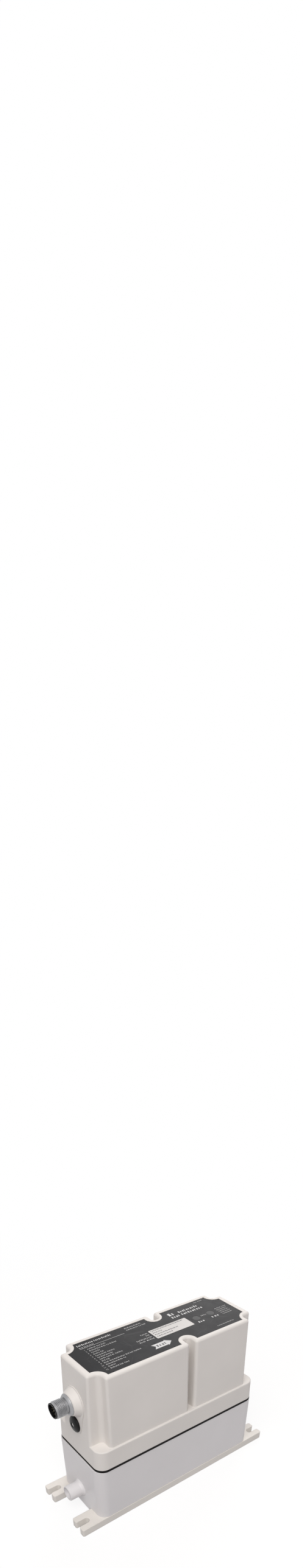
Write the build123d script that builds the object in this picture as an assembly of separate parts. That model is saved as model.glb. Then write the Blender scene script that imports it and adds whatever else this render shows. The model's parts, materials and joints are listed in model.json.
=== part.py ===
from build123d import *
import math
import os

os.makedirs("parts", exist_ok=True)

# All sizes are in millimetres. X runs along the flow, Y across, Z up.
# Z = 0 is the mounting face of the base plate, and X = Y = 0 is its centre.

# Base plate
plate_width = 55.5
foot_reach = 16.1
leg_width = 14.8
plate_height = 6.0
plate_skin = 1.8
rail_width = 2.45
rib_width = 1.8
tip_round = 1.3
cross_wall_inset = 11.3
cross_wall = 1.75
leg_inner_rail = 3.05
slot_width = 4.5
slot_length = 9.5
slot_wall = 2.2
slot_shoulder = 0.5
cross_rib_x = -18.7
end_boss_inset = 7.7
boss_inset = 7.65
middle_boss_x = 8.3
boss_r = 5.95
boss_bore_r = 4.2
spigot_r = 5.6
spigot_height = 4.0
spigot_floor = 1.7
core_x = (-45.4, 43.9)
core_r = 6.2
core_hole_r = 4.8
core_depth = 3.5
hub_x = (-18.4, 26.1)
hub_r = 4.3
hub_hole_r = 2.2
hub_depth = 3.0

# Wetted body
body_length = 145.8
body_inset = 0.35
body_height = 44.4
corner_r = 7.5
pad_bottom = 0.9
pad_gap = 0.2
pad_edge = 1.2
spigot_gap = 0.15
port_z = 17.65
port_reach = 11.15
port_r = 5.7
port_root_r = 6.8
port_fillet = 1.1
port_chamfer = 0.4
port_mouth_r = 4.75
port_cone = 3.0
inlet_r = 3.6
outlet_r = 3.0

# Pressure sensors and orifice
sensor_x = (-36.0, -4.0)
sensor_r = 9.5
sensor_bottom = 28.0
sensor_height = 12.0
sensor_gap = 0.1
sensor_recess = 1.5
sensor_port_r = 1.5
ring_r = 11.0
ring_bore_r = 6.0
ring_height = 5.0
ring_relief = 0.5
seal_inner_r = 5.1
seal_outer_r = 7.1
seal_depth = 1.3
seal_edge = 0.3
orifice_shoulder_x = -18.0
orifice_length = 6.0
orifice_r = 0.9
orifice_cone = 3.0

# Control valve
valve_x = 40.0
chamber_r = 10.0
chamber_depth = 6.0
feed_offset = 9.0
passage_r = 2.5
seat_r = 4.5
seat_height = 2.0
clamp_depth = 17.4
clamp_r = 12.5
bonnet_gap = 0.1
diaphragm_rim = 1.0
diaphragm_web = 0.6
poppet_r = 4.0
poppet_lift = 1.2
poppet_relief_r = 8.0
poppet_relief = 2.0
bonnet_flange = 4.0
bonnet_size = 32.0
bonnet_corner = 4.0
stem_r = 2.45
stem_fit = 0.05
stem_depth = 1.6
stem_stroke_gap = 4.0
stem_tail_r = 1.5
motor_plate = 2.0
motor_r = 12.5
motor_height = 29.6
motor_cap_r = 5.0
motor_cap = 1.5
motor_end = 6.0
m3_r = 1.5
m3_head_r = 2.75
m3_head = 3.0
m3_pitch = 25.0
m3_depth = 8.4

# Gasket and cover
gasket_height = 2.0
gasket_width_x = 14.6
gasket_width_y = 6.25
gasket_land_r = 4.8
flange_height = 15.6
flange_draft = 0.15
flange_round = 0.8
cover_height = 70.5
cover_inset = 0.8
cover_draft_x = 3.1
cover_ledge = 1.22
cover_draft_y = 2.16
notch_length = (10.7, 8.5)
notch_depth = (9.78, 8.17)
notch_inner_r = 3.4
notch_mouth_r = 1.8
groove_half = (2.45, 2.95)
groove_depth = (10.13, 8.47)
groove_inner_r = 2.3
groove_mouth_r = 2.2
top_round = 1.6
wall = 2.5
roof = 2.7
inner_corner_r = 0.3

# Top label
label_margin_x = 4.2
label_margin_y = 3.37
label_corner_r = 8.1
label_side_r = 6.7
label_side_inset = 1.4
label_side_shift = 0.5
label_thickness = 0.4
label_recess = 0.6
label_gap = 0.1
panel_min = (-7.0, -5.9)
panel_max = (25.3, 5.6)
panel_corner = 0.6
film = 0.1
lens_x = (32.1, 45.2)
lens_y = 0.3
lens_r = 2.95
lens_gap = 0.05
lens_sink = 0.25
pipe_r = 2.4
pipe_gap = 0.4

# End label, on the outlet end of the cover
end_label_lift = 1.2
end_label_length = 66.4
end_label_width = 16.3
end_label_corner = 3.0
end_label_thickness = 0.35
end_label_recess = 0.25
end_panel_lift = 23.9
end_panel_length = 39.3
end_panel_width = 12.0
sticker_r = 2.45
sticker_spots = ((-1.7, 3.5), (4.1, 3.3), (1.2, 7.8))

# Connector and vent, on the inlet end of the cover
connector_height = 42.9
connector_boss_r = 11.2
connector_boss_tip_r = 7.9
connector_boss = 3.3
pad_r = 11.3
pad_raise = 0.5
pad_foot_r = 7.2
shell_r = 6.0
shell_length = 11.3
shell_collar_r = 7.7
shell_collar = 0.3
shell_cone = 1.6
shell_neck_r = 5.45
shell_neck = 0.7
shell_bore_r = 5.0
shell_back = 12.9
shell_chamfer = 0.5
shell_gap = 0.05
insulator_reach = 3.1
insulator_mouth_r = 4.6
lip_height = 0.6
lip_edge = 0.15
pin_r = 0.38
pin_reach = 9.8
pin_tail = 2.0
pin_gap = 0.02
outer_pins = 9
outer_pin_r = 3.0
inner_pins = 3
inner_pin_r = 1.25
key_width = 0.9
key_height = 0.6
key_setback = 0.4
nut_across = 15.0
nut_thickness = 3.5
nut_seat = 8.7
nut_seat_r = 9.5
connector_seal_r = 7.0
connector_seal = 1.0
vent_height_z = 25.0
vent_r = 6.0
vent_rim = 0.7
vent_height = 2.4
vent_stem_r = 4.0
vent_stem_end = 4.5
vent_hole_r = 1.7
membrane_r = 2.4
membrane_thickness = 0.3
membrane_depth = 0.7

# Assembly screws and inserts
m4_r = 2.0
m4_head_r = 3.5
m4_head = 4.0
m4_socket = 3.0
m4_socket_depth = 2.0
m4_reach = 5.9
m4_clearance_r = 2.25
insert_r = 2.8
insert_length = 8.0
insert_sink = 0.2
insert_hole_depth = 9.6
thread_fit = 0.03

# Electronics
board_drop = 8.6
board_thickness = 1.6
board_margin_x = 13.0
board_margin_y = 6.37
board_corner = 2.0
board_notch_half = 7.0
board_notch_gap = 1.1
post_inset_x = 8.0
post_inset_y = 5.5
post_r = 3.0
post_hole_r = 1.28
post_hole_end = 2.2
m25_r = 1.25
m25_head_r = 2.2
m25_head = 1.7
m25_end = 1.0
header_height = 5.0
header_length = 6.0
header_width = 8.0
header_shift = 8.0
elbow_r = 6.0
chip_size = 12.0
chip_height = 1.6
chip_x = 2.0
led_size = 2.4
led_height = 1.2
bundle_r = 2.0
lead_r = 1.1

# Lengths and widths worked out from the sizes above
body_end = body_length / 2
plate_length = body_length + 2 * foot_reach
cutout_half = plate_width / 2 - leg_width
cross_wall_x = body_end - cross_wall_inset
slot_y = plate_width / 2 - leg_width / 2
slot_end_x = plate_length / 2 - slot_length
slot_centre_x = slot_end_x + slot_width / 2
slot_shoulder_x = slot_end_x - slot_shoulder
end_boss_x = body_end - end_boss_inset
boss_y = plate_width / 2 - boss_inset
body_width = plate_width - 2 * body_inset
flange_half_y = plate_width / 2
cover_half_x = (body_end - cover_inset, body_end - cover_inset - cover_draft_x)
cover_half_y = (flange_half_y - cover_ledge, flange_half_y - cover_ledge - cover_draft_y)
notch_x = (cover_half_x[0] - notch_length[0], cover_half_x[1] - notch_length[1])
notch_y = (cover_half_y[0] - notch_depth[0], cover_half_y[1] - notch_depth[1])
groove_y = (cover_half_y[0] - groove_depth[0], cover_half_y[1] - groove_depth[1])
port_tip_x = body_end + port_reach
label_half_x = cover_half_x[1] - label_margin_x
label_half_y = cover_half_y[1] - label_margin_y
label_side_y = label_half_y - label_side_inset
label_side_x = middle_boss_x - label_side_shift
board_half_x = cover_half_x[1] - board_margin_x
board_half_y = cover_half_y[1] - board_margin_y
board_notch_y = groove_y[1] - wall - board_notch_gap
post_x = board_half_x - post_inset_x
post_y = board_half_y - post_inset_y
connector_boss_x = cover_half_x[0] + connector_boss
shell_tip_x = connector_boss_x + shell_length
shell_end_x = shell_tip_x - lip_height
shell_back_x = connector_boss_x - shell_back
neck_x = connector_boss_x + shell_collar + shell_cone
insulator_x = connector_boss_x + insulator_reach
pin_tip_x = connector_boss_x + pin_reach
pin_back_x = shell_back_x - pin_tail
nut_seat_x = connector_boss_x - nut_seat
boss_points = [(sx * end_boss_x, sy * boss_y) for sx in (-1, 1) for sy in (-1, 1)]
boss_points += [(middle_boss_x, -boss_y), (middle_boss_x, boss_y)]

# Heights worked out from the sizes above
pocket_top = plate_height - plate_skin
spigot_top = plate_height + spigot_height
head_bottom = spigot_top - spigot_floor - m4_head
body_top = plate_height + body_height
gasket_bottom = body_top
cover_bottom = gasket_bottom + gasket_height
flange_top = cover_bottom + flange_height
cover_top = cover_bottom + cover_height
ceiling = cover_top - roof
connector_z = cover_bottom + connector_height
vent_z = cover_bottom + vent_height_z
sensor_top = sensor_bottom + sensor_height
clamp_z = body_top - clamp_depth
chamber_floor = clamp_z - chamber_depth
seat_top = chamber_floor + seat_height
poppet_bottom = seat_top + poppet_lift
stem_bottom = clamp_z - stem_depth
m3_bottom = body_top - m3_depth
insert_start = cover_bottom + insert_sink
board_top = ceiling - board_drop
board_bottom = board_top - board_thickness
header_bottom = board_bottom - header_height
post_hole_top = ceiling - post_hole_end
m25_top = post_hole_top - m25_end
pipe_bottom = board_top + led_height + pipe_gap
lens_top = cover_top - lens_sink
end_label_bottom = cover_bottom + end_label_lift
end_label_top = end_label_bottom + end_label_length
end_panel_bottom = end_label_bottom + end_panel_lift
end_panel_top = end_panel_bottom + end_panel_length
draft_angle = math.atan(cover_draft_x / cover_height)


def between(pair, height):
    """Value at a height, on the straight line from the cover's bottom to its top."""
    share = (height - cover_bottom) / (cover_top - cover_bottom)
    return pair[0] + (pair[1] - pair[0]) * share


def box(x0, x1, y0, y1, z0, z1):
    """Box from its limits."""
    middle = ((x0 + x1) / 2, (y0 + y1) / 2, (z0 + z1) / 2)
    return Pos(*middle) * Box(x1 - x0, y1 - y0, z1 - z0)


def rod(x, y, z0, z1, r):
    """Upright cylinder from z0 to z1."""
    return Pos(x, y, (z0 + z1) / 2) * Cylinder(r, z1 - z0)


def bar(x0, x1, z, r):
    """Cylinder along X at height z, on the centre plane."""
    return Pos((x0 + x1) / 2, 0, z) * Rot(0, 90, 0) * Cylinder(r, x1 - x0)


def rib(x0, y0, x1, y1, width, height):
    """Straight rib standing on Z = 0 between two points."""
    length = math.hypot(x1 - x0, y1 - y0)
    angle = math.degrees(math.atan2(y1 - y0, x1 - x0))
    place = Pos((x0 + x1) / 2, (y0 + y1) / 2, height / 2) * Rot(0, 0, angle)
    return place * Box(length, width, height)


def slab(half_x, half_y, radius, z0, z1):
    """Upright plate with rounded corners."""
    outline = RectangleRounded(2 * half_x, 2 * half_y, radius)
    return extrude(Pos(0, 0, z0) * outline, z1 - z0)


def turned(points, place):
    """Solid of revolution from (radius, height) points, its axis along the local Z."""
    outline = make_face(Polyline(*[(r, 0, h) for r, h in points], close=True))
    return place * revolve(outline, Axis.Z)


def along_x(side, z):
    """Frame on the centre plane at height z whose local Z points out of one end."""
    return Plane(origin=(0, 0, z), x_dir=(0, side, 0), z_dir=(side, 0, 0)).location


def end_face(side, z, out=0.0):
    """Frame on the drafted end face of the cover at height z, local Z pointing outwards."""
    normal = Vector(side * math.cos(draft_angle), 0, math.sin(draft_angle))
    point = Vector(side * between(cover_half_x, z), 0, z) + normal * out
    return Plane(origin=point, x_dir=(0, side, 0), z_dir=normal).location


def rounded_face(corners, height):
    """Level face from corner points, each corner with its own radius."""
    count = len(corners)
    arcs = []
    for i, (x, y, radius) in enumerate(corners):
        here = Vector(x, y, height)
        before = Vector(corners[i - 1][0], corners[i - 1][1], height) - here
        after = Vector(corners[(i + 1) % count][0], corners[(i + 1) % count][1], height) - here
        into = before.normalized()
        out = after.normalized()
        half = math.radians(into.get_angle(out) / 2)
        run = radius / math.tan(half)
        middle = here + (into + out).normalized() * (radius / math.sin(half) - radius)
        arcs.append((here + into * run, middle, here + out * run))
    edges = []
    for i, (start, middle, end) in enumerate(arcs):
        edges.append(ThreePointArc(start, middle, end))
        edges.append(Line(end, arcs[(i + 1) % count][0]))
    return Face(Wire(edges))


def cover_face(height, inset):
    """Outline of the cover above its flange: four corner notches and two side grooves."""
    half_x = between(cover_half_x, height) - inset
    half_y = between(cover_half_y, height) - inset
    nx = between(notch_x, height) - inset
    ny = between(notch_y, height) - inset
    gw = between(groove_half, height) + inset
    gy = between(groove_y, height) - inset
    mouth = max(notch_mouth_r - inset, inner_corner_r)
    side_mouth = max(groove_mouth_r - inset, inner_corner_r)
    hollow = notch_inner_r + inset
    side_hollow = groove_inner_r + inset
    right = middle_boss_x + gw
    left = middle_boss_x - gw
    upper = [(half_x, ny, mouth), (nx, ny, hollow), (nx, half_y, mouth)]
    upper += [(right, half_y, side_mouth), (right, gy, side_hollow)]
    upper += [(left, gy, side_hollow), (left, half_y, side_mouth)]
    upper += [(-nx, half_y, mouth), (-nx, ny, hollow), (-half_x, ny, mouth)]
    lower = [(x, -y, r) for x, y, r in reversed(upper)]
    return rounded_face(upper + lower, height)


def save(shape, name):
    """Write one node."""
    shape.label = name
    export_step(shape, f"parts/{name}.step")


# Base plate: a skin with rails, ribs and cored bosses below, and two slotted legs at each end
plate = box(-plate_length / 2, plate_length / 2, -plate_width / 2, plate_width / 2, 0, plate_height)
for side in (-1, 1):
    reach = side * plate_length
    wall_x = side * cross_wall_x
    opening = box(min(wall_x, reach), max(wall_x, reach), -cutout_half, cutout_half, -1, plate_height + 1)
    plate -= opening
    for lane in (-slot_y, slot_y):
        start = side * slot_centre_x
        slot_sides = (lane - slot_width / 2, lane + slot_width / 2)
        slot = box(min(start, reach), max(start, reach), *slot_sides, -1, plate_height + 1)
        plate -= slot + rod(start, lane, -1, plate_height + 1, slot_width / 2)
tips = plate.edges().filter_by(Axis.Z).filter_by(lambda e: abs(e.center().X) > plate_length / 2 - 0.1)
plate = fillet(tips, tip_round)

rail_y = plate_width / 2 - rail_width
inner_wall_x = cross_wall_x - cross_wall
pocket = box(-inner_wall_x, inner_wall_x, -rail_y, rail_y, 0, pocket_top)
for side in (-1, 1):
    for lane in (-1, 1):
        near = lane * (cutout_half + leg_inner_rail)
        far = lane * rail_y
        x0 = min(side * cross_wall_x, side * slot_shoulder_x)
        x1 = max(side * cross_wall_x, side * slot_shoulder_x)
        leg = box(x0, x1, min(near, far), max(near, far), 0, pocket_top)
        leg -= rod(side * slot_centre_x, lane * slot_y, -1, plate_height, slot_width / 2 + slot_wall)
        pocket += leg
left_wall = (-cross_wall_x, 0)
right_wall = (cross_wall_x, 0)
ribs = [rib(*left_wall, *right_wall, rib_width, pocket_top)]
ribs.append(rib(cross_rib_x, -rail_y, cross_rib_x, rail_y, rib_width, pocket_top))
for lane in (-1, 1):
    zigzag = [left_wall, (core_x[0], lane * boss_y), (hub_x[0], 0), (middle_boss_x, lane * boss_y)]
    zigzag += [(hub_x[1], 0), (core_x[1], lane * boss_y), right_wall]
    for start, end in zip(zigzag, zigzag[1:]):
        ribs.append(rib(*start, *end, rib_width, pocket_top))
for x, y in boss_points:
    ribs.append(rod(x, y, 0, pocket_top, boss_r))
for x in core_x:
    for lane in (-1, 1):
        ribs.append(rod(x, lane * boss_y, 0, pocket_top, core_r))
for x in hub_x:
    ribs.append(rod(x, 0, 0, pocket_top, hub_r))
plate -= pocket - ribs
for x, y in boss_points:
    plate += rod(x, y, plate_height - 0.5, spigot_top, spigot_r)
for x, y in boss_points:
    plate -= rod(x, y, -1, spigot_top - spigot_floor, boss_bore_r)
    plate -= rod(x, y, 0, spigot_top + 1, m4_clearance_r)
for x in core_x:
    for lane in (-1, 1):
        plate -= rod(x, lane * boss_y, -1, core_depth, core_hole_r)
for x in hub_x:
    plate -= rod(x, 0, -1, hub_depth, hub_hole_r)
save(plate, "base_plate")

# Wetted body: block with ports, pads that fill the leg cut-outs, and all wetted passages
body = slab(body_end, body_width / 2, corner_r, plate_height, body_top)
for side in (-1, 1):
    inner = side * (cross_wall_x + pad_gap)
    outer = side * body_end
    pad_y = cutout_half - pad_gap
    pad = box(min(inner, outer), max(inner, outer), -pad_y, pad_y, pad_bottom, plate_height + 0.5)
    low_edges = pad.edges().filter_by(Axis.Y).group_by(Axis.Z)[0]
    pad = fillet(low_edges.sort_by(lambda e: abs(e.center().X))[-1], pad_edge)
    body += pad
for side in (-1, 1):
    stub = [(0, body_end - 5), (port_root_r, body_end - 5), (port_root_r, body_end)]
    stub += [(port_r + 0.35, body_end + port_fillet), (port_r, body_end + 2 * port_fillet)]
    stub += [(port_r, port_tip_x - port_chamfer), (port_r - port_chamfer, port_tip_x), (0, port_tip_x)]
    body += turned(stub, along_x(side, port_z))
for x, y in boss_points:
    body -= rod(x, y, plate_height - 1, spigot_top, spigot_r + spigot_gap)
    body -= rod(x, y, plate_height - 1, body_top + 1, m4_clearance_r)
for side, bore in ((-1, inlet_r), (1, outlet_r)):
    inner_x = port_tip_x - port_cone
    mouth = [(0, inner_x), (bore, inner_x), (port_mouth_r, port_tip_x - 0.8)]
    mouth += [(port_mouth_r, port_tip_x + 1), (0, port_tip_x + 1)]
    body -= turned(mouth, along_x(side, port_z))
feed_x = valve_x - feed_offset
body -= bar(-port_tip_x, orifice_shoulder_x, port_z, inlet_r)
body -= bar(orifice_shoulder_x - 1, feed_x, port_z, outlet_r)
body -= bar(valve_x, port_tip_x, port_z, outlet_r)
body -= rod(feed_x, 0, port_z, chamber_floor + 1, passage_r)
body -= rod(valve_x, 0, port_z, seat_top + 1, passage_r)
chamber = rod(valve_x, 0, chamber_floor, clamp_z + 1, chamber_r)
body -= chamber - rod(valve_x, 0, chamber_floor - 1, seat_top, seat_r)
body -= rod(valve_x, 0, clamp_z, body_top + 1, clamp_r)
for x in sensor_x:
    body -= rod(x, 0, sensor_bottom, body_top + 1, sensor_r + sensor_gap)
    body -= rod(x, 0, sensor_top - ring_relief, body_top + 1, ring_r + thread_fit)
    body -= rod(x, 0, port_z, sensor_bottom + 1, sensor_port_r)
    seat = rod(x, 0, sensor_bottom - seal_depth, sensor_bottom + 1, seal_outer_r)
    body -= seat - rod(x, 0, sensor_bottom - 2, sensor_bottom + 2, seal_inner_r)
m3_points = [(valve_x + sx * m3_pitch / 2, sy * m3_pitch / 2) for sx in (-1, 1) for sy in (-1, 1)]
for x, y in m3_points:
    body -= rod(x, y, m3_bottom - 1, body_top + 1, m3_r + thread_fit)
save(body, "wetted_body")

# Orifice insert, pressed against a shoulder in the inlet bore
throat_x = orifice_shoulder_x - orifice_length
orifice = bar(throat_x, orifice_shoulder_x, port_z, inlet_r - thread_fit)
orifice -= bar(throat_x - 1, orifice_shoulder_x + 1, port_z, orifice_r)
funnel = [(0, -throat_x + 1), (inlet_r - 0.6, -throat_x + 1), (inlet_r - 0.6, -throat_x)]
funnel += [(orifice_r, -throat_x - orifice_cone), (0, -throat_x - orifice_cone)]
orifice -= turned(funnel, along_x(-1, port_z))
save(orifice, "orifice_insert")

# Pressure sensors with their seals and retaining rings
for x, name in zip(sensor_x, ("upstream", "downstream")):
    can = rod(x, 0, sensor_bottom, sensor_top, sensor_r)
    can -= rod(x, 0, sensor_top - sensor_recess, sensor_top + 1, ring_bore_r - 1)
    can -= rod(x, 0, sensor_bottom - 1, sensor_bottom + 3, sensor_port_r)
    save(can, f"{name}_pressure_sensor")
seals = []
rings = []
for x in sensor_x:
    low = sensor_bottom - seal_depth
    section = [(seal_inner_r + seal_edge, low), (seal_outer_r - seal_edge, low)]
    section += [(seal_outer_r, low + seal_edge)]
    section += [(seal_outer_r, sensor_bottom - seal_edge), (seal_outer_r - seal_edge, sensor_bottom)]
    section += [(seal_inner_r + seal_edge, sensor_bottom), (seal_inner_r, sensor_bottom - seal_edge)]
    section += [(seal_inner_r, low + seal_edge)]
    seals.append(turned(section, Pos(x, 0, 0)))
    ring = rod(x, 0, sensor_top, sensor_top + ring_height, ring_r)
    ring -= rod(x, 0, sensor_top - 1, sensor_top + ring_height + 1, ring_bore_r)
    for turn in (0, 90):
        slot = Pos(x, 0, sensor_top + ring_height) * Rot(0, 0, turn) * Box(2 * ring_r + 2, 2.5, 3)
        ring -= slot
    rings.append(ring)
save(Compound(children=seals), "sensor_seals")
save(Compound(children=rings), "sensor_retaining_rings")

# Valve: diaphragm with poppet, bonnet, stem and linear motor
rim_top = clamp_z + diaphragm_rim
web_z = clamp_z + (diaphragm_rim - diaphragm_web) / 2
skin = [(0, poppet_bottom), (poppet_r, poppet_bottom), (poppet_r, web_z - 0.6)]
skin += [(6.0, web_z - 1.0), (8.4, web_z), (8.8, clamp_z), (clamp_r - bonnet_gap, clamp_z)]
skin += [(clamp_r - bonnet_gap, rim_top), (8.4, rim_top - 0.2), (6.0, web_z - 1.0 + diaphragm_web)]
skin += [(poppet_r, web_z - 0.6 + diaphragm_web), (poppet_r - 0.6, rim_top + 1)]
skin += [(stem_tail_r, rim_top + 1), (stem_tail_r, stem_bottom), (0, stem_bottom)]
diaphragm = turned(skin, Pos(valve_x, 0, 0))
save(diaphragm, "valve_diaphragm")

bonnet_top = body_top + bonnet_flange
bonnet = rod(valve_x, 0, rim_top, body_top + 1, clamp_r - bonnet_gap)
bonnet += Pos(valve_x, 0, 0) * slab(bonnet_size / 2, bonnet_size / 2, bonnet_corner, body_top, bonnet_top)
bonnet -= rod(valve_x, 0, rim_top - 1, rim_top + poppet_relief, poppet_relief_r)
bonnet -= rod(valve_x, 0, rim_top - 1, bonnet_top + 1, stem_r + stem_fit)
for x, y in m3_points:
    bonnet -= rod(x, y, body_top - 1, bonnet_top + 1, m3_r + 0.1)
save(bonnet, "valve_bonnet")

stem_top = bonnet_top + motor_plate + motor_height - motor_end - stem_stroke_gap
stem = rod(valve_x, 0, rim_top + 1, stem_top, stem_r)
stem += rod(valve_x, 0, stem_bottom, rim_top + 2, stem_tail_r - thread_fit)
save(chamfer(stem.edges().group_by(Axis.Z)[-1], 0.5), "valve_stem")

plate_top = bonnet_top + motor_plate
motor_top = plate_top + motor_height
motor = Pos(valve_x, 0, 0) * slab(bonnet_size / 2, bonnet_size / 2, bonnet_corner, bonnet_top, plate_top)
can = rod(valve_x, 0, plate_top - 0.5, motor_top, motor_r)
motor += fillet(can.edges().group_by(Axis.Z)[-1], 1.0)
motor += rod(valve_x, 0, motor_top - 1, motor_top + motor_cap, motor_cap_r)
motor -= rod(valve_x, 0, bonnet_top - 1, motor_top - motor_end, stem_r + 2 * stem_fit)
for x, y in m3_points:
    motor -= rod(x, y, bonnet_top - 1, plate_top + 1, m3_r + 0.1)
save(motor, "valve_motor")

motor_screws = []
for x, y in m3_points:
    screw = rod(x, y, plate_top, plate_top + m3_head, m3_head_r) + rod(x, y, m3_bottom, plate_top, m3_r)
    socket = Pos(x, y, plate_top + m3_head - 0.75) * extrude(RegularPolygon(1.44, 6), 1.5)
    motor_screws.append(screw - socket)
save(Compound(children=motor_screws), "motor_screws")

# Gasket between body and cover
gasket = slab(cover_half_x[0], flange_half_y, corner_r, gasket_bottom, cover_bottom)
window_x = cover_half_x[0] - gasket_width_x
window_y = flange_half_y - gasket_width_y
window = slab(window_x, window_y, corner_r, gasket_bottom - 1, cover_bottom + 1)
for x, y in boss_points:
    window -= rod(x, y, gasket_bottom - 2, cover_bottom + 2, gasket_land_r)
gasket -= window
for x, y in boss_points:
    gasket -= rod(x, y, gasket_bottom - 1, cover_bottom + 1, m4_clearance_r)
save(gasket, "cover_gasket")

# Cover: drafted shell with corner notches, side grooves and a flange with a ledge
flange_low = Pos(0, 0, cover_bottom) * RectangleRounded(2 * cover_half_x[0], 2 * flange_half_y, corner_r)
flange_half_x_top = between(cover_half_x, flange_top)
flange_high = RectangleRounded(2 * flange_half_x_top, 2 * (flange_half_y - flange_draft), corner_r)
flange = loft([flange_low, Pos(0, 0, flange_top) * flange_high], ruled=True)
flange = fillet(flange.edges().group_by(Axis.Z)[-1], flange_round)
upper = loft([cover_face(cover_bottom, 0), cover_face(cover_top, 0)], ruled=True)
upper = fillet(upper.edges().group_by(Axis.Z)[-1], top_round)
cover = flange + upper

keyhole = make_hull((Circle(pad_r) + Pos(0, vent_z - connector_z) * Circle(pad_foot_r)).edges())
cover += extrude(end_face(-1, connector_z, -1.0) * keyhole, 1.0 + pad_raise)
boss_foot = between(cover_half_x, connector_z) - 1.0
cone = [(0, boss_foot), (connector_boss_r, boss_foot), (connector_boss_tip_r + 0.2, connector_boss_x - 0.5)]
cone += [(connector_boss_tip_r - 0.4, connector_boss_x), (0, connector_boss_x)]
cover += turned(cone, along_x(-1, connector_z))

cover -= loft([cover_face(cover_bottom, wall), cover_face(ceiling, wall)], ruled=True)
nut_seat = bar(-boss_foot - 0.5, -nut_seat_x, connector_z, nut_seat_r)
cover += nut_seat
cover -= bar(-connector_boss_x - 1, -nut_seat_x + 1, connector_z, shell_r + shell_gap)
seal_x = connector_boss_x - connector_seal
cover -= bar(-connector_boss_x - 1, -seal_x, connector_z, connector_seal_r)
vent_bore = Cylinder(vent_stem_r + thread_fit, 2 * vent_stem_end + 3)
cover -= end_face(-1, vent_z) * vent_bore
for x, y in boss_points:
    cover -= rod(x, y, cover_bottom - 1, cover_bottom + insert_hole_depth, insert_r + thread_fit)


def label_shape(grow):
    """Outline of the top label, made larger by the given gap."""
    shape = Rectangle(2 * (label_half_x + grow), 2 * (label_half_y + grow))
    for sy in (-1, 1):
        for sx in (-1, 1):
            shape -= Pos(sx * label_half_x, sy * label_half_y) * Circle(label_corner_r - grow)
        shape -= Pos(label_side_x, sy * label_side_y) * Circle(label_side_r - grow)
        side_cut = Rectangle(2 * (label_side_r - grow), 6)
        shape -= Pos(label_side_x, sy * (label_side_y + 3)) * side_cut
    return shape


recess_z = cover_top - label_recess
cover -= extrude(Pos(0, 0, recess_z) * label_shape(label_gap), label_recess + 1)
for x in lens_x:
    cover -= rod(x, lens_y, ceiling - 1, cover_top + 1, pipe_r + lens_gap)
for sx in (-1, 1):
    for sy in (-1, 1):
        post = rod(sx * post_x, sy * post_y, board_top, ceiling + 0.5, post_r)
        cover += post - rod(sx * post_x, sy * post_y, board_top - 1, post_hole_top, post_hole_r)
end_label_middle = (end_label_bottom + end_label_top) / 2
end_label_size = (end_label_width, end_label_top - end_label_bottom)
end_seat = RectangleRounded(end_label_size[0] + 0.2, end_label_size[1] + 0.2, end_label_corner)
cover -= extrude(end_face(1, end_label_middle, -end_label_recess) * end_seat, 2)
save(cover, "cover")

# Top label, its pale panel and the two status lenses
label = extrude(Pos(0, 0, recess_z) * label_shape(0), label_thickness)
for x in lens_x:
    label -= rod(x, lens_y, recess_z - 1, cover_top + 1, lens_r + lens_gap)
save(label, "top_label")

label_top = recess_z + label_thickness
panel_size = (panel_max[0] - panel_min[0], panel_max[1] - panel_min[1])
panel_place = Pos((panel_max[0] + panel_min[0]) / 2, (panel_max[1] + panel_min[1]) / 2, label_top)
panel = extrude(panel_place * RectangleRounded(*panel_size, panel_corner), film)
save(panel, "top_label_panel")

lenses = []
for x in lens_x:
    pipe = rod(x, lens_y, pipe_bottom, recess_z, pipe_r)
    lenses.append(rod(x, lens_y, recess_z, lens_top, lens_r) + pipe)
save(Compound(children=lenses), "status_lenses")

# End label, its pale panel and the round stickers
end_label = end_face(1, end_label_middle, -end_label_recess)
end_label = end_label * RectangleRounded(*end_label_size, end_label_corner)
save(extrude(end_label, end_label_thickness), "end_label")
end_panel_size = (end_panel_width, end_panel_top - end_panel_bottom)
label_face = end_label_thickness - end_label_recess
end_panel_middle = (end_panel_bottom + end_panel_top) / 2
end_panel = end_face(1, end_panel_middle, label_face) * RectangleRounded(*end_panel_size, panel_corner)
save(extrude(end_panel, film), "end_label_panel")
stickers = []
for y, drop in sticker_spots:
    spot = end_face(1, end_panel_top - drop, label_face + film) * Pos(y, 0) * Circle(sticker_r)
    stickers.append(extrude(spot, film))
save(Compound(children=stickers), "round_stickers")

# Round plug connector: shell, insulator cup with its lip, contacts, seal and nut
shell = [(shell_bore_r, shell_end_x), (shell_r - shell_chamfer, shell_end_x)]
shell += [(shell_r, shell_end_x - shell_chamfer), (shell_r, neck_x + shell_neck)]
shell += [(shell_neck_r, neck_x + shell_neck), (shell_neck_r, neck_x), (shell_r + 0.4, neck_x)]
shell += [(shell_collar_r, connector_boss_x + shell_collar), (shell_collar_r, connector_boss_x)]
shell += [(shell_r, connector_boss_x), (shell_r, shell_back_x), (shell_bore_r, shell_back_x)]
save(turned(shell, along_x(-1, connector_z)), "connector_shell")

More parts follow.
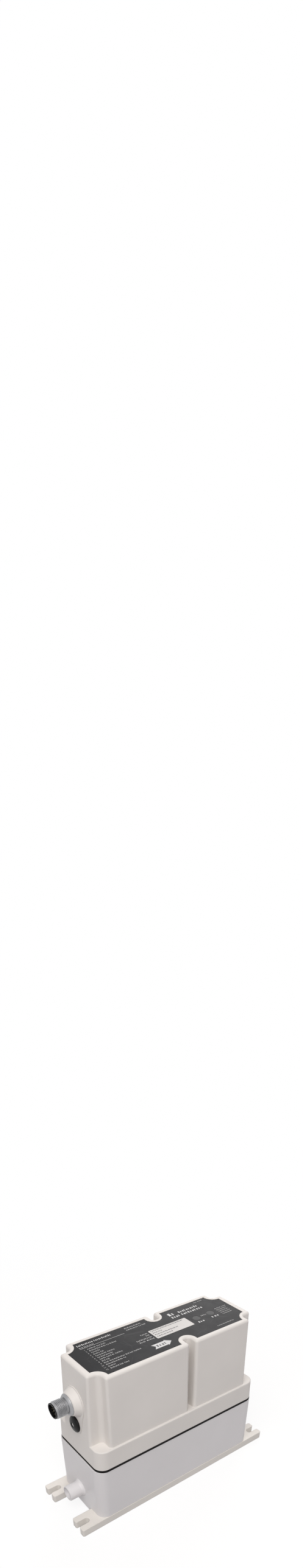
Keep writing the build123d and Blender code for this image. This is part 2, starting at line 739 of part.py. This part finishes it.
contacts = []
lip_r = shell_r - shell_chamfer
cup_r = shell_bore_r - thread_fit
cup = [(0, shell_back_x), (cup_r, shell_back_x), (cup_r, shell_end_x), (lip_r, shell_end_x)]
cup += [(lip_r, shell_tip_x - lip_edge), (lip_r - lip_edge, shell_tip_x), (insulator_mouth_r, shell_tip_x)]
cup += [(insulator_mouth_r, insulator_x), (0, insulator_x)]
insulator = turned(cup, along_x(-1, connector_z))
key_top = connector_z + insulator_mouth_r + 0.1
key_z = connector_z + insulator_mouth_r - key_height
key_x = (-shell_end_x + key_setback, -insulator_x)
insulator += box(key_x[0], key_x[1], -key_width / 2, key_width / 2, key_z, key_top)
for count, radius, phase in ((outer_pins, outer_pin_r, 20.0), (inner_pins, inner_pin_r, 0.0)):
    for i in range(count):
        angle = math.radians(90 + phase + 360 * i / count)
        spot = Pos(0, radius * math.cos(angle), radius * math.sin(angle))
        pin = spot * bar(-pin_tip_x, -pin_back_x, connector_z, pin_r)
        contacts.append(pin)
        insulator -= spot * bar(-insulator_x - 1, -shell_back_x + 1, connector_z, pin_r + pin_gap)
save(insulator, "connector_insulator")
save(Compound(children=contacts), "connector_pins")

ring_seal = bar(-connector_boss_x, -seal_x, connector_z, connector_seal_r - thread_fit)
ring_seal -= bar(-connector_boss_x - 1, -seal_x + 1, connector_z, shell_r + thread_fit)
save(ring_seal, "connector_seal")

nut = extrude(RegularPolygon(nut_across / 2, 6, major_radius=False), nut_thickness)
nut -= Pos(0, 0, nut_thickness / 2) * Cylinder(shell_r + thread_fit, nut_thickness + 2)
nut_place = Plane(origin=(-nut_seat_x, 0, connector_z), x_dir=(0, 1, 0), z_dir=(1, 0, 0)).location
save(nut_place * nut, "connector_nut")

# Vent plug with its membrane
vent_tip = pad_raise + vent_height
membrane_top = vent_tip - membrane_depth
membrane_low = membrane_top - membrane_thickness
shoulder = pad_raise + vent_rim
vent = [(vent_hole_r, -vent_stem_end), (vent_stem_r, -vent_stem_end), (vent_stem_r, pad_raise)]
vent += [(vent_r, pad_raise), (vent_r, shoulder), (5.7, shoulder + 0.45), (5.0, shoulder + 0.9)]
vent += [(3.8, shoulder + 1.35), (2.6, vent_tip - 0.08), (vent_hole_r, vent_tip)]
vent += [(vent_hole_r, membrane_top), (membrane_r, membrane_top)]
vent += [(membrane_r, membrane_low), (vent_hole_r, membrane_low)]
save(turned(vent, end_face(-1, vent_z)), "vent_plug")
membrane = Pos(0, 0, (membrane_top + membrane_low) / 2) * Cylinder(membrane_r, membrane_thickness)
save(end_face(-1, vent_z) * membrane, "vent_membrane")

# Assembly screws from below, and the threaded inserts they pull on
head_top = head_bottom + m4_head
screws = []
inserts = []
for x, y in boss_points:
    screw = chamfer(rod(x, y, head_bottom, head_top, m4_head_r).edges().group_by(Axis.Z)[0], 0.4)
    screw += rod(x, y, head_top - 0.5, cover_bottom + m4_reach, m4_r)
    socket = extrude(RegularPolygon(m4_socket / 2, 6, major_radius=False), m4_socket_depth + 1)
    screws.append(screw - Pos(x, y, head_bottom - 1) * socket)
    insert_end = insert_start + insert_length
    sleeve = rod(x, y, insert_start, insert_end, insert_r)
    inserts.append(sleeve - rod(x, y, insert_start - 1, insert_end + 1, m4_r + thread_fit))
save(Compound(children=screws), "assembly_screws")
save(Compound(children=inserts), "threaded_inserts")

# Circuit board, its parts, screws and leads
board = slab(board_half_x, board_half_y, board_corner, board_bottom, board_top)
for lane in (-1, 1):
    y0 = min(lane * board_notch_y, lane * plate_width)
    y1 = max(lane * board_notch_y, lane * plate_width)
    x0 = middle_boss_x - board_notch_half
    board -= box(x0, x0 + 2 * board_notch_half, y0, y1, board_bottom - 1, board_top + 1)
board_screws = []
for sx in (-1, 1):
    for sy in (-1, 1):
        x = sx * post_x
        y = sy * post_y
        board -= rod(x, y, board_bottom - 1, board_top + 1, m25_r + 0.1)
        screw = rod(x, y, board_bottom - m25_head, board_bottom, m25_head_r)
        board_screws.append(screw + rod(x, y, board_bottom - 0.5, m25_top, m25_r))
save(board, "main_board")
save(Compound(children=board_screws), "board_screws")

chip = chip_size / 2
chips = [box(chip_x - chip, chip_x + chip, -chip, chip, board_bottom - chip_height, board_bottom)]
lead_x = (-pin_back_x + header_shift, sensor_x[0], sensor_x[1] - chip_size, valve_x - header_shift)
for x in lead_x:
    half_x = header_length / 2
    half_y = header_width / 2
    chips.append(box(x - half_x, x + half_x, -half_y, half_y, header_bottom, board_bottom))
save(Compound(children=chips), "board_components")
lamps = []
half = led_size / 2
for x in lens_x:
    lamps.append(box(x - half, x + half, lens_y - half, lens_y + half, board_top, board_top + led_height))
save(Compound(children=lamps), "status_lamps")


def lead(points, radius):
    """Round bundle of wires along straight runs with round bends."""
    path = FilletPolyline(*points, radius=elbow_r)
    profile = Plane(origin=path @ 0, z_dir=path % 0) * Circle(radius)
    return sweep(profile, path)


connector_start = (-pin_back_x + 1.0, 0, connector_z)
leads = [lead((connector_start, (lead_x[0], 0, connector_z), (lead_x[0], 0, header_bottom)), bundle_r)]
leads.append(rod(sensor_x[0], 0, sensor_top - sensor_recess, header_bottom, lead_r))
turn_z = header_bottom - 3 * elbow_r
bend = [(sensor_x[1], 0, sensor_top - sensor_recess), (sensor_x[1], 0, turn_z)]
bend += [(lead_x[2], 0, turn_z + elbow_r), (lead_x[2], 0, header_bottom)]
leads.append(lead(bend, lead_r))
leads.append(rod(lead_x[3], 0, motor_top, header_bottom, lead_r))
save(Compound(children=leads), "wiring_leads")
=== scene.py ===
import json
import math

import bmesh
import bpy
from mathutils import Matrix, Vector


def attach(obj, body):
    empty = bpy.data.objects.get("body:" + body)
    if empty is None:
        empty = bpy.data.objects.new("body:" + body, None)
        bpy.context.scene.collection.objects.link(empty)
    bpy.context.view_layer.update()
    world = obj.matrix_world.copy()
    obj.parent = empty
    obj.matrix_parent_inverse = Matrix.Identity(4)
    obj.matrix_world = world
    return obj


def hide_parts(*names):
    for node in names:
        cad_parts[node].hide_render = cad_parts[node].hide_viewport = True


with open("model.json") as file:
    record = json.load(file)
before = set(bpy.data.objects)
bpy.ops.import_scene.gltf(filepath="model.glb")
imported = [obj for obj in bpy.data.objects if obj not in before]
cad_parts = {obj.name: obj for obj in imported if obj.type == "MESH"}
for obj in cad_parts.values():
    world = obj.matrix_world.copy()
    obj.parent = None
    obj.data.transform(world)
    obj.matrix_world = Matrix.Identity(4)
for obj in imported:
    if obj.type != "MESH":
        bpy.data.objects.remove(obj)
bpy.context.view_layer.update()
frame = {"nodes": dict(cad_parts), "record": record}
mm = 0.001

# Sizes of the part that the added pieces follow, in millimetres
label_z = 122.7
panel_z = 122.8
connector_z = 95.3
cover_bottom = 52.4
cover_top = 122.9
end_bottom_x = 72.1
end_top_x = 69.0


# Materials. Scales of noise and cells are counts per metre, and colours are linear


class Shader:
    """The nodes of a material or of the world, added with short calls."""

    def __init__(self, owner, output="OutputMaterial"):
        owner.use_nodes = True
        self.owner = owner
        self.tree = owner.node_tree
        self.tree.nodes.clear()
        self.surface = self.node(output).inputs["Surface"]
        self.place = None

    def node(self, kind, **values):
        made = self.tree.nodes.new("ShaderNode" + kind)
        for key, value in values.items():
            setattr(made, key, value)
        return made

    def link(self, value, socket):
        if isinstance(value, bpy.types.NodeSocket):
            self.tree.links.new(value, socket)
        else:
            socket.default_value = value

    def fill(self, kind, inputs, **values):
        """A node whose inputs are set or linked by name or number. Returns its first output."""
        made = self.node(kind, **values)
        for key, value in inputs.items():
            self.link(value, made.inputs[key])
        return made.outputs[0]

    def on_object(self):
        """The place in the object's own coordinates."""
        if self.place is None:
            self.place = self.node("TexCoord").outputs["Object"]
        return self.place

    def math(self, operation, a, b=0.0, clamp=False):
        return self.fill("Math", {0: a, 1: b}, operation=operation, use_clamp=clamp)

    def noise(self, scale, detail=3.0, rough=0.5, stretch=None):
        place = self.on_object()
        if stretch:
            place = self.fill("Mapping", {"Vector": place, "Scale": stretch})
        inputs = {"Vector": place, "Scale": scale, "Detail": detail, "Roughness": rough}
        return self.fill("TexNoise", inputs)

    def cells(self, scale, feature="F1"):
        """Distance to the nearest cell's middle, or to its edge."""
        return self.fill("TexVoronoi", {"Vector": self.on_object(), "Scale": scale}, feature=feature)

    def span(self, value, low, high, to_low=0.0, to_high=1.0):
        """Brings the values from low to high to another range, and holds them in it."""
        inputs = {"Value": value, "From Min": low, "From Max": high}
        inputs.update({"To Min": to_low, "To Max": to_high})
        return self.fill("MapRange", inputs)

    def mix(self, share, a, b):
        """Mix of two colours, which are sockets 6 and 7 of the node."""
        made = self.node("Mix", data_type="RGBA")
        for i, value in ((0, share), (6, a), (7, b)):
            self.link(value, made.inputs[i])
        return made.outputs[2]

    def soft_normal(self, radius, samples=4):
        """The face's normal, with the edges rounded."""
        return self.fill("Bevel", {"Radius": radius}, samples=samples)

    def edge_highlight_mask(self, normal):
        """Mask for the painted highlight on the edges: it rises towards the rounded edges, from the
        cosine between the two normals.
        """
        dot = self.node("VectorMath", operation="DOT_PRODUCT")
        self.link(normal, dot.inputs[0])
        self.link(self.node("NewGeometry").outputs["Normal"], dot.inputs[1])
        return self.span(dot.outputs["Value"], 0.995, 0.86)

    def bump(self, height, distance, strength, normal):
        inputs = {"Strength": strength, "Distance": distance, "Height": height, "Normal": normal}
        return self.fill("Bump", inputs)

    def finish(self, colour, rough, normal, **values):
        """Closes the material with its one shader; values are other inputs of that."""
        inputs = {"Base Color": colour, "Roughness": rough, "Normal": normal}
        inputs.update({key.replace("_", " "): value for key, value in values.items()})
        self.link(self.fill("BsdfPrincipled", inputs), self.surface)
        return self.owner


def shade(colour, factor):
    return tuple(min(1.0, c * factor) for c in colour) + (1.0,)


def moulded(name, colour, rough, bevel=0.5, tint=0.03, specks=0.0, **values):
    """Moulded or machined plastic: fine grain, slow drift of tone, painted highlights that pale the
    rounded edges, and a few specks.
    """
    s = Shader(bpy.data.materials.new(name))
    drift = s.span(s.noise(22.0, detail=4.0), 0.3, 0.7)
    tone = s.mix(drift, shade(colour, 1 - tint), shade(colour, 1 + tint))
    normal = s.soft_normal(bevel * mm, samples=6)
    # Painted highlight: the colour turns paler towards the rounded edges
    tone = s.mix(s.math("MULTIPLY", s.edge_highlight_mask(normal), 0.24), tone, shade(colour, 1.132))
    scuff = s.span(s.noise(160.0, detail=6.0, rough=0.65, stretch=(1.0, 1.0, 0.35)), 0.62, 0.74)
    tone = s.mix(s.math("MULTIPLY", scuff, 0.10), tone, shade(colour, 0.90))
    if specks:
        near = s.span(s.cells(70.0), 0.012, 0.022, 1.0, 0.0)
        few = s.math("GREATER_THAN", s.noise(31.0, detail=0.0), 1.0 - specks)
        tone = s.mix(s.math("MULTIPLY", near, few), tone, (0.12, 0.11, 0.10, 1.0))
    shine = s.span(s.noise(210.0, detail=5.0, rough=0.6), 0.3, 0.7, rough - 0.05, rough + 0.07)
    normal = s.bump(s.noise(1500.0, detail=4.0, rough=0.6), 0.05 * mm, 0.25, normal)
    normal = s.bump(s.noise(55.0, detail=2.0), 0.4 * mm, 0.12, normal)
    return s.finish(tone, shine, normal, **values)


def film(name, colour, rough, scratches=0.0, **values):
    """Printed label film: satin, with faint fine scratches and dull patches."""
    s = Shader(bpy.data.materials.new(name))
    drift = s.span(s.noise(45.0, detail=5.0, rough=0.6), 0.3, 0.7)
    tone = s.mix(drift, shade(colour, 0.92), shade(colour, 1.08))
    thin = s.span(s.cells(48.0, "DISTANCE_TO_EDGE"), 0.0, 0.014, 1.0, 0.0)
    broken = s.span(s.noise(120.0, detail=2.0), 0.45, 0.6)
    worn = s.math("MULTIPLY", s.math("MULTIPLY", thin, broken), scratches)
    tone = s.mix(worn, tone, (0.35, 0.35, 0.36, 1.0))
    shine = s.span(s.noise(90.0, detail=6.0, rough=0.7), 0.25, 0.75, rough - 0.07, rough + 0.09)
    normal = s.soft_normal(0.15 * mm)
    normal = s.bump(s.noise(700.0), 0.03 * mm, 0.25, normal)
    normal = s.bump(s.noise(30.0, detail=2.0), 0.5 * mm, 0.15, normal)
    return s.finish(tone, shine, normal, **values)


def metal(name, colour, rough, stretch):
    """Turned or rolled metal with fine marks along one way, and painted highlights that brighten its
    edges.
    """
    s = Shader(bpy.data.materials.new(name))
    marks = s.noise(1400.0, rough=0.6, stretch=stretch)
    dirt = s.span(s.noise(260.0, detail=5.0, rough=0.65), 0.35, 0.7)
    tone = s.mix(dirt, shade(colour, 0.86), shade(colour, 1.05))
    normal = s.soft_normal(0.15 * mm)
    # Painted highlight: the colour turns brighter towards the rounded edges
    tone = s.mix(s.math("MULTIPLY", s.edge_highlight_mask(normal), 0.36), tone, shade(colour, 1.3))
    shine = s.span(marks, 0.3, 0.7, rough - 0.06, rough + 0.08)
    normal = s.bump(marks, 0.02 * mm, 0.35, normal)
    return s.finish(tone, shine, normal, Metallic=1.0)


def rubber(name, colour, rough, **values):
    """Black rubber or plastic with dust in its grain."""
    s = Shader(bpy.data.materials.new(name))
    dust = s.span(s.noise(330.0, detail=6.0, rough=0.7), 0.55, 0.8, 0.0, 0.25)
    tone = s.mix(dust, shade(colour, 1.0), (0.07, 0.068, 0.066, 1.0))
    shine = s.span(s.noise(240.0, detail=4.0), 0.3, 0.7, rough - 0.08, rough + 0.08)
    normal = s.bump(s.noise(1800.0), 0.04 * mm, 0.3, s.soft_normal(0.2 * mm))
    return s.finish(tone, shine, normal, **values)


# Marks run around an axis where the noise is drawn out across it
around_x = (1.0, 0.06, 0.06)
around_z = (0.06, 0.06, 1.0)
glow_depth = (1.6 * mm, 1.5 * mm, 1.5 * mm)
finishes = {
    "base_plastic": moulded(
        "base_plastic", (0.80, 0.77, 0.725), 0.48, bevel=0.7, specks=0.25, Specular_IOR_Level=0.35),
    "body_plastic": moulded(
        "body_plastic", (0.77, 0.757, 0.768), 0.38, tint=0.02, specks=0.35, Specular_IOR_Level=0.4,
        Subsurface_Weight=0.12, Subsurface_Radius=glow_depth, Subsurface_Scale=1.0),
    "cover_plastic": moulded(
        "cover_plastic", (0.78, 0.752, 0.722), 0.48, bevel=0.6, specks=0.3, Specular_IOR_Level=0.35),
    "black_rubber": rubber("black_rubber", (0.007, 0.006, 0.006), 0.6, Specular_IOR_Level=0.08),
    "label_black": film("label_black", (0.012, 0.012, 0.014), 0.40, 0.05, Specular_IOR_Level=0.12),
    "label_pale": film("label_pale", (0.60, 0.585, 0.57), 0.40, 0.05),
    "lens_grey": film("lens_grey", (0.008, 0.008, 0.010), 0.22, Specular_IOR_Level=0.18),
    "sticker_red": film("sticker_red", (0.62, 0.018, 0.035), 0.42, 0.06),
    "connector_metal": metal("connector_metal", (0.36, 0.36, 0.37), 0.40, around_x),
    "black_plastic": rubber("black_plastic", (0.006, 0.006, 0.006), 0.38, Specular_IOR_Level=0.15),
    "gold_contact": metal("gold_contact", (0.20, 0.17, 0.12), 0.40, around_x),
    "steel": metal("steel", (0.56, 0.56, 0.57), 0.30, around_z),
    "dark_steel": metal("dark_steel", (0.10, 0.10, 0.105), 0.45, around_z),
    "brass": metal("brass", (0.62, 0.45, 0.20), 0.32, around_z),
    "white_membrane": film("white_membrane", (0.80, 0.80, 0.79), 0.6),
    "board_green": film("board_green", (0.02, 0.14, 0.05), 0.35, 0.1),
    "seal_white": moulded("seal_white", (0.80, 0.80, 0.78), 0.4, bevel=0.3),
    "motor_can": metal("motor_can", (0.45, 0.45, 0.47), 0.36, around_z),
}
print_white = film("print_white", (0.62, 0.62, 0.62), 0.45)
print_grey = film("print_grey", (0.44, 0.44, 0.44), 0.45)
print_dark = film("print_dark", (0.05, 0.05, 0.055), 0.45)

for entry in frame["record"]["subparts"]:
    node = frame["nodes"][entry["node"]]
    finish = finishes[entry["material_slot"]]
    if not node.material_slots:
        node.data.materials.append(finish)
    for slot in node.material_slots:
        slot.material = finish


# Pieces: print on the labels, and the connector's shell with its thread


def piece(name, mesh_data, material, sharp=35):
    """Puts a finished bmesh into the scene as a piece of the housing."""
    bmesh.ops.recalc_face_normals(mesh_data, faces=mesh_data.faces)
    mesh = bpy.data.meshes.new(name)
    mesh_data.to_mesh(mesh)
    mesh_data.free()
    mesh.shade_smooth()
    mesh.set_sharp_from_angle(angle=math.radians(sharp))
    made = bpy.data.objects.new(name, mesh)
    bpy.context.collection.objects.link(made)
    made.data.materials.append(material)
    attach(made, "housing")
    return made


def prism(mesh_data, outline, low, high):
    """Closed slab over a flat outline; low and high place a point of the outline in space."""
    bottom = [mesh_data.verts.new(low(*p)) for p in outline]
    top = [mesh_data.verts.new(high(*p)) for p in outline]
    count = len(outline)
    mesh_data.faces.new(list(reversed(bottom)))
    mesh_data.faces.new(top)
    for i in range(count):
        j = (i + 1) % count
        mesh_data.faces.new((bottom[i], bottom[j], top[j], top[i]))


def rounded(x0, x1, y0, y1, radius=0.12, steps=2):
    """Outline of a rectangle with round corners."""
    points = []
    corners = ((x1 - radius, y0 + radius, -90), (x1 - radius, y1 - radius, 0))
    corners += ((x0 + radius, y1 - radius, 90), (x0 + radius, y0 + radius, 180))
    for cx, cy, start in corners:
        for k in range(steps + 1):
            angle = math.radians(start + 90 * k / steps)
            points.append((cx + radius * math.cos(angle), cy + radius * math.sin(angle)))
    return points


def level(z):
    """Places a point of an outline at one height."""
    return lambda x, y: (x * mm, y * mm, z * mm)


def end_level(out):
    """Places a point (y, z) on the drafted outlet end, at a distance in front of it."""
    slope = (end_bottom_x - end_top_x) / (cover_top - cover_bottom)
    draft = math.atan(slope)

    def place(y, z):
        x = end_bottom_x - slope * (z - cover_bottom)
        return ((x + out * math.cos(draft)) * mm, y * mm, (z + out * math.sin(draft)) * mm)

    return place


# Plain blocks that stand for letters. The gap and widths are shares of the pitch
word_gap = 0.55
letter_widths = (0.56, 0.44, 0.62, 0.36)
low_letter = 0.76


def words(mesh_data, place, x, y, counts, high, pitch, seed):
    """Words as rows of blocks, with the counts of letters given. Pitch is the room for one letter."""
    for k, letters in enumerate(counts):
        for i in range(letters):
            kind = ((seed + k) * 7 + i * 5 + letters * 3) % 4
            is_tall = i == 0 or kind in (0, 3) and i % 3 != 1
            tall = high if is_tall else high * low_letter
            x0 = x + i * pitch
            y0 = y - high / 2
            prism(mesh_data, rounded(x0, x0 + pitch * letter_widths[kind], y0, y0 + tall), *place)
        x = x + letters * pitch + pitch * word_gap


def column(mesh_data, place, y, z0, z1, pitch, wide):
    """Upright row of blocks. A long one has gaps between its words."""
    count = int((z1 - z0) / pitch)
    y1 = y + wide / 2
    for i in range(count):
        if i % 7 == 5 and count > 8:
            continue
        high = wide if (i * 5 + count) % 4 in (0, 3) else wide * 0.78
        prism(mesh_data, rounded(y1 - high, y1, z0 + i * pitch, z0 + (i + 0.66) * pitch), *place)


def digits(mesh_data, text, right, y, size):
    """Plain number, right-aligned, lying on the label."""
    curve = bpy.data.curves.new("number", "FONT")
    curve.body = text
    curve.size = size * mm
    curve.extrude = 0.02 * mm
    curve.align_x = "RIGHT"
    curve.align_y = "CENTER"
    curve.resolution_u = 3
    shown = bpy.data.objects.new("number", curve)
    bpy.context.collection.objects.link(shown)
    bpy.context.view_layer.update()
    mesh = bpy.data.meshes.new_from_object(shown)
    mesh.transform(Matrix.Translation((right * mm, y * mm, (label_z + 0.015) * mm)))
    mesh_data.from_mesh(mesh)
    bpy.data.objects.remove(shown)
    bpy.data.curves.remove(curve)
    bpy.data.meshes.remove(mesh)


# Heights between which the print lies; it reaches a little into what it is on
on_label = (level(label_z - 0.02), level(label_z + 0.035))
on_panel = (level(panel_z - 0.02), level(panel_z + 0.03))
on_arrow = (level(label_z + 0.02), level(label_z + 0.05))
over_panel = (end_level(0.17), end_level(0.23))
over_label = (end_level(0.08), end_level(0.13))

# Small print of the top label: twelve numbered rows of words
row_y = 10.8
row_pitch = 2.45
number_right = -53.3
row_left = -51.6
rows = ([7, 3, 4], [9, 4, 2, 6], [7], [5, 3], [9, 6], [2, 10], [5, 4, 2, 6], [3, 3], [4, 3, 9, 3, 3, 6])
rows += ([9, 4, 2], [6], [7, 3, 4])
fine_print = bmesh.new()
for i, counts in enumerate(rows):
    y = row_y - row_pitch * i
    digits(fine_print, str(i + 1), number_right, y, size=1.75)
    words(fine_print, on_label, row_left, y, counts, high=1.25, pitch=0.93, seed=i)

# The other small lines, as (x, y, letters in each word, height, pitch, seed)
small_lines = [
    (-55.5, 14.5, [3, 8], 1.3, 0.98, 3), (-17.6, 18.2, [7, 6], 1.3, 1.02, 5),
    (-17.6, 15.6, [9, 2, 3], 1.3, 1.08, 6), (45.2, 18.9, [3, 4], 1.0, 1.05, 2),
]
# Captions that end beside the pale panel, as (y, letters in each word, length)
caption_right = -8.4
captions = ((4.2, [5], 5.7), (1.7, [3], 3.0), (-0.9, [11], 12.4), (-3.5, [4, 5], 11.7))
for y, counts, length in captions:
    pitch = length / (sum(counts) + word_gap * (len(counts) - 1) - 0.3)
    small_lines.append((caption_right - length, y, counts, 1.35, pitch, 4))
# Lines at the right of the label, five of them one below another
list_left = 51.6
list_y = 2.6
list_pitch = 2.2
small_lines.append((36.6, 0.6, [6], 1.1, 0.82, 1))
for i, counts in enumerate(([6, 4], [9], [9], [9], [9])):
    small_lines.append((list_left, list_y - list_pitch * i, counts, 0.95, 1.0, i))
small_lines.append((36.7, -17.0, [15], 0.95, 1.03, 2))
for line in small_lines:
    words(fine_print, on_label, *line)
piece("label_fine_print", fine_print, print_grey)

# Large print of the top label, the rule under its first line, and the arrow
large_lines = (
    (-55.6, 17.5, [10, 11], 1.9, 1.23, 1), (18.2, 15.0, [2], 3.6, 3.0, 0),
    (26.9, 14.4, [10], 2.3, 1.8, 2), (18.1, 10.6, [4, 10], 2.3, 1.96, 4),
    (29.4, -5.3, [3], 1.9, 1.9, 1), (41.9, -5.3, [3], 1.9, 2.4, 2),
)
arrow = [(-5.6, -10.3), (-5.6, -9.4), (-1.3, -13.0), (-5.6, -16.6)]
arrow += [(-5.6, -15.7), (-16.3, -15.7), (-14.3, -13.0), (-16.3, -10.3)]
bold_print = bmesh.new()
for line in large_lines:
    words(bold_print, on_label, *line)
prism(bold_print, rounded(-55.7, -21.0, 13.05, 13.3, radius=0.1, steps=3), *on_label)
prism(bold_print, arrow, *on_label)
piece("label_bold_print", bold_print, print_white)

# Dark print on the pale panel: four lines of these lengths, and the four marks on the arrow
panel_left = -5.6
panel_y = 4.2
panel_pitch = 2.57
panel_letter = 1.12
panel_print = bmesh.new()
for i, length in enumerate((28.0, 8.0, 20.0, 13.0)):
    y = panel_y - panel_pitch * i
    counts = [round(length / panel_letter)]
    words(panel_print, on_panel, panel_left, y, counts, high=1.25, pitch=panel_letter, seed=i)
words(panel_print, on_arrow, -13.4, -13.0, [4], high=2.3, pitch=2.1, seed=0)
piece("panel_print", panel_print, print_dark)

# Upright columns of the end label: (y, ends on the pale panel, ends on the black below it)
columns = ((-3.2, (79.0, 111.0), (69.0, 76.0)), (-1.1, (79.0, 92.0), (71.0, 76.0)))
columns += ((1.5, (79.0, 103.0), (58.0, 76.0)), (5.2, (79.0, 100.0), (60.0, 76.0)))
end_dark = bmesh.new()
end_pale = bmesh.new()
for y, panel_ends, label_ends in columns:
    column(end_dark, over_panel, y, *panel_ends, pitch=1.2, wide=1.35)
    column(end_pale, over_label, y, *label_ends, pitch=1.3, wide=1.5)
piece("end_panel_print", end_dark, print_dark)
piece("end_label_print", end_pale, print_white)


def around_connector(radius, out, angle):
    """Point about the connector's axis, at a distance from the part's middle."""
    return (-out * mm, radius * math.cos(angle) * mm, (connector_z + radius * math.sin(angle)) * mm)


# Connector shell, turned from a closed profile of (radius, distance)
profile = [
    (5.0, 86.1), (5.48, 86.1), (5.55, 86.05), (5.55, 85.75), (5.42, 85.6), (5.42, 77.9),
    (5.38, 77.3), (6.35, 77.3), (6.5, 77.2), (7.6, 75.85), (7.7, 75.7), (7.7, 75.4),
    (6.0, 75.4), (6.0, 62.5), (5.0, 62.5),
]
shell_steps = 128
shell = bmesh.new()
loops = []
for k in range(shell_steps):
    angle = 2 * math.pi * k / shell_steps
    loops.append([shell.verts.new(around_connector(*point, angle)) for point in profile])
for k, here in enumerate(loops):
    there = loops[(k + 1) % shell_steps]
    for i in range(len(profile)):
        j = (i + 1) % len(profile)
        shell.faces.new((here[i], here[j], there[j], there[i]))

# Its thread: a ridge wound around it, which fades out at both ends
thread_pitch = 1.0
thread_start = 78.45
thread_root = 5.35
thread_section = ((5.35, -0.46), (5.93, -0.10), (5.98, 0.0), (5.93, 0.10), (5.35, 0.46))
turns = 7.2
turn_steps = 96
fade_steps = 20
last = None
for k in range(int(turns * turn_steps) + 1):
    angle = 2 * math.pi * k / turn_steps
    fade = min(1.0, k / fade_steps, (turns * turn_steps - k) / fade_steps)
    ring = []
    for radius, shift in thread_section:
        faded = thread_root + (radius - thread_root) * fade
        out = thread_start + thread_pitch * k / turn_steps + shift
        ring.append(shell.verts.new(around_connector(faded, out, angle)))
    if last:
        for i in range(len(ring) - 1):
            shell.faces.new((last[i], last[i + 1], ring[i + 1], ring[i]))
    last = ring
thread = piece("connector_thread", shell, finishes["connector_metal"], sharp=28)
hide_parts("connector_shell")


# Floor: white paper that takes the shadow near the part, all white far out, and clear from below
white = (1.0, 1.0, 1.0, 1.0)
shadow_reach = 0.2
white_from = 0.55
bpy.ops.mesh.primitive_plane_add(size=12.0, location=(0, 0, -0.02 * mm))
floor = bpy.context.object
floor.name = "floor"
s = Shader(bpy.data.materials.new("floor"))
axes = s.node("SeparateXYZ")
s.link(s.on_object(), axes.inputs[0])
x_square, y_square = (s.math("MULTIPLY", axis, axis) for axis in list(axes.outputs)[:2])
away = s.span(s.math("SQRT", s.math("ADD", x_square, y_square)), shadow_reach, white_from)
glow = s.fill("Emission", {"Color": white, "Strength": 0.80})
paper = s.fill("BsdfDiffuse", {"Color": (0.22, 0.22, 0.22, 1.0)})
near = s.fill("AddShader", {0: glow, 1: paper})
far = s.fill("Emission", {"Color": white, "Strength": 1.0})
above = s.fill("MixShader", {0: away, 1: near, 2: far})
behind = s.node("NewGeometry").outputs["Backfacing"]
clear = s.fill("BsdfTransparent", {})
s.link(s.fill("MixShader", {0: behind, 1: above, 2: clear}), s.surface)
floor.data.materials.append(s.owner)
floor.visible_diffuse = False
floor.visible_shadow = False

# World: white where it is seen or mirrored, and a soft fill where it lights
world = bpy.data.worlds.new("studio")
bpy.context.scene.world = world
s = Shader(world, "OutputWorld")
rays = s.node("LightPath").outputs
seen = s.math("ADD", rays["Is Camera Ray"], rays["Is Glossy Ray"], clamp=True)
seen = s.math("ADD", seen, rays["Is Transmission Ray"], clamp=True)
soft = s.fill("Background", {"Color": (1.0, 0.96, 0.97, 1.0), "Strength": 0.37})
backdrop = s.fill("Background", {"Color": white, "Strength": 1.0})
s.link(s.fill("MixShader", {0: seen, 1: soft, 2: backdrop}), s.surface)


part_middle = Vector((0, 0, 0.06))


def lamp(name, direction, distance, size, strength, colour):
    """Square soft lamp aimed at the part's middle. At strength 1 it lights a white face to white."""
    light = bpy.data.lights.new(name, "AREA")
    light.size = size
    light.energy = strength * math.pi ** 2 * distance ** 2
    light.color = colour
    made = bpy.data.objects.new(name, light)
    way = Vector(direction).normalized()
    made.location = part_middle + way * distance
    made.rotation_euler = way.to_track_quat("Z", "Y").to_euler()
    bpy.context.collection.objects.link(made)


lamp("key", (-0.50, -0.50, 1.05), distance=1.15, size=1.1, strength=0.76, colour=(1.0, 0.975, 0.95))
lamp("side", (0.60, 0.50, 0.50), distance=1.3, size=0.9, strength=0.30, colour=(1.0, 0.98, 0.96))

# Camera, as fitted to the photo's fifth view
camera = bpy.data.cameras.new("camera")
camera.lens = 12.501
camera.shift_x = -0.00932
camera.shift_y = 0.39907
camera.clip_start = 0.01
camera_object = bpy.data.objects.new("camera", camera)
camera_object.location = (-0.20005, -0.25367, 0.31114)
camera_object.rotation_euler = (0.90074, -0.01687, -0.66889)
bpy.context.collection.objects.link(camera_object)
bpy.context.scene.camera = camera_object
bpy.context.scene.view_settings.view_transform = "Standard"
